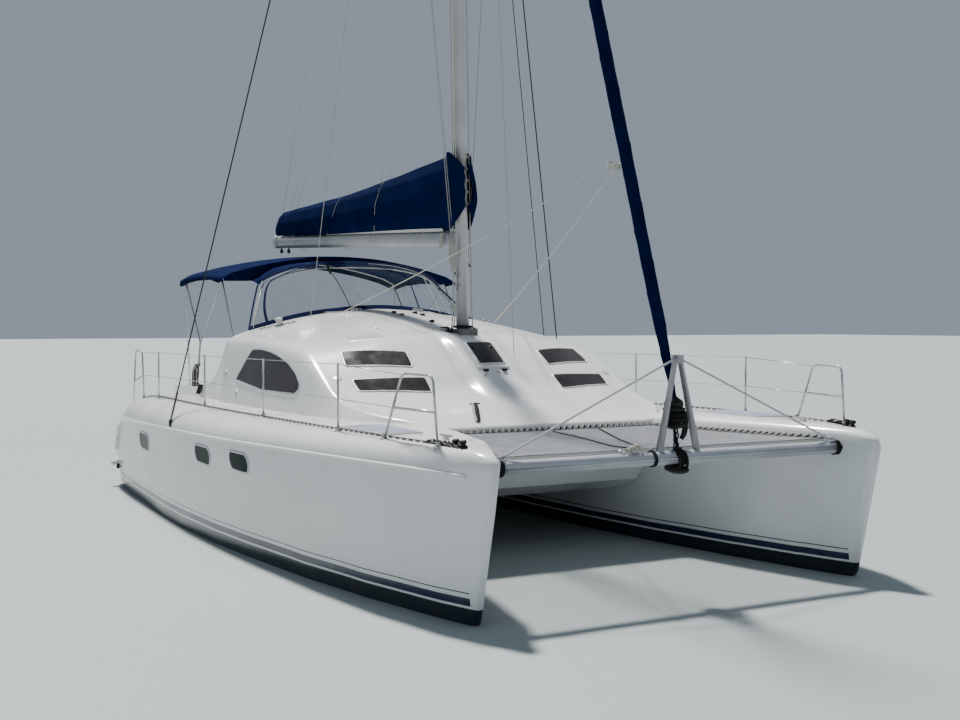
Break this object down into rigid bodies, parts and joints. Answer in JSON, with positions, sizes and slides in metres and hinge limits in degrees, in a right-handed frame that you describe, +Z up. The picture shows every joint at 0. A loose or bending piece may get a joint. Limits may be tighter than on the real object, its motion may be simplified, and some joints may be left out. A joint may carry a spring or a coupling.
{
  "type": "sailing catamaran",
  "caption": "Cruising sailing catamaran afloat, sails furled, with trampoline, tinted coachroof windows, bimini, swinging boom, steering rudders and turning propellers.",
  "frame": {"origin": "on the centreline amidships, at the waterline", "axes": "+X towards the bows, +Y to port, +Z up"},
  "size_m": [11.8821, 6.366, 17.95],
  "materials": {
    "gelcoat": "glossy white moulded gelcoat",
    "antifouling": "matt near-black blue underwater paint",
    "tinted_window": "smoked acrylic",
    "clear_vinyl": "clear flexible sheet",
    "anodised_alloy": "satin silver anodised",
    "stainless_steel": "polished stainless tube and wire",
    "navy_canvas": "woven acrylic canvas",
    "netting": "open woven net",
    "black_plastic": "moulded black plastic",
    "bronze": "cast bronze, dulled"
  },
  "bodies": {
    "boat": {"hull_starboard": "gelcoat", "hull_port": "gelcoat", "strake_starboard": "gelcoat", "strake_port": "gelcoat", "bridge_deck": "gelcoat", "coachroof": "gelcoat", "cockpit_coaming": "gelcoat", "cockpit_seat": "gelcoat", "helm_pedestal": "gelcoat", "keel_starboard": "antifouling", "keel_port": "antifouling", "sail_drive_starboard": "antifouling", "sail_drive_port": "antifouling", "window_upper_starboard": "tinted_window", "window_upper_port": "tinted_window", "window_lower_starboard": "tinted_window", "window_lower_port": "tinted_window", "window_side_starboard": "tinted_window", "window_side_port": "tinted_window", "dodger_window": "clear_vinyl", "crossbeam": "anodised_alloy", "a_frame": "anodised_alloy", "mast_step": "anodised_alloy", "mast": "anodised_alloy", "spreader_starboard": "anodised_alloy", "spreader_port": "anodised_alloy", "shroud_starboard": "stainless_steel", "shroud_port": "stainless_steel", "gooseneck": "stainless_steel", "guard_rail_starboard": "stainless_steel", "guard_rail_port": "stainless_steel", "bimini_frame": "stainless_steel", "winch_starboard": "stainless_steel", "winch_port": "stainless_steel", "bow_cleat_starboard": "stainless_steel", "bow_cleat_port": "stainless_steel", "genoa_furled": "navy_canvas", "sail_collar": "navy_canvas", "bimini_canopy": "navy_canvas", "dodger_canopy": "navy_canvas", "trampoline": "netting", "furler_drum": "black_plastic"},
    "rudder_starboard": {"rudder_starboard": "antifouling"},
    "rudder_port": {"rudder_port": "antifouling"},
    "helm_wheel": {"helm_wheel": "stainless_steel"},
    "propeller_starboard": {"propeller_starboard": "bronze"},
    "propeller_port": {"propeller_port": "bronze"},
    "boom": {"boom": "anodised_alloy", "sail_cover": "navy_canvas"},
    "roof_hatch_lid": {"roof_hatch_lid": "tinted_window"},
    "locker_lid_starboard": {"locker_lid_starboard": "gelcoat"},
    "locker_lid_port": {"locker_lid_port": "gelcoat"},
    "saloon_door": {"saloon_door": "tinted_window"}
  },
  "joints": [
    {"name": "rudder_turn_starboard", "type": "hinge", "parent": "boat", "child": "rudder_starboard", "pos_m": [-5, -2.268, -0.4], "axis": [0, 0, 1], "range_deg": [-35, 35]},
    {"name": "rudder_turn_port", "type": "hinge", "parent": "boat", "child": "rudder_port", "pos_m": [-5, 2.268, -0.4], "axis": [0, 0, 1], "range_deg": [-35, 35]},
    {"name": "helm_turn", "type": "hinge", "parent": "boat", "child": "helm_wheel", "pos_m": [-2.615, -0.85, 1.9], "axis": [1, 0, 0], "range_deg": [-541, 541]},
    {"name": "propeller_spin_starboard", "type": "hinge", "parent": "boat", "child": "propeller_starboard", "pos_m": [-3.68, -2.268, -0.7], "axis": [1, 0, 0], "continuous": true},
    {"name": "propeller_spin_port", "type": "hinge", "parent": "boat", "child": "propeller_port", "pos_m": [-3.68, 2.268, -0.7], "axis": [1, 0, 0], "continuous": true},
    {"name": "boom_swing", "type": "hinge", "parent": "boat", "child": "boom", "pos_m": [0.76, 0, 3.77], "axis": [0, 0, 1], "range_deg": [-50, 38]},
    {"name": "roof_hatch_open", "type": "hinge", "parent": "boat", "child": "roof_hatch_lid", "pos_m": [1.791, 0, 2.141], "axis": [0, 1, 0], "range_deg": [0, 70]},
    {"name": "locker_open_starboard", "type": "hinge", "parent": "boat", "child": "locker_lid_starboard", "pos_m": [3.635, -2.122, 1.597], "axis": [-1, 0, 0], "range_deg": [0, 80]},
    {"name": "locker_open_port", "type": "hinge", "parent": "boat", "child": "locker_lid_port", "pos_m": [3.635, 2.122, 1.597], "axis": [1, 0, 0], "range_deg": [0, 80]},
    {"name": "saloon_door_open", "type": "hinge", "parent": "boat", "child": "saloon_door", "pos_m": [-2.0843, 0.24, 1.75], "axis": [0, 0, -1], "range_deg": [0, 100]}
  ],
  "couplings": [
    {"joint": "rudder_turn_port", "follows": "rudder_turn_starboard", "ratio": 1},
    {"joint": "helm_turn", "follows": "rudder_turn_starboard", "ratio": 15.43}
  ]
}
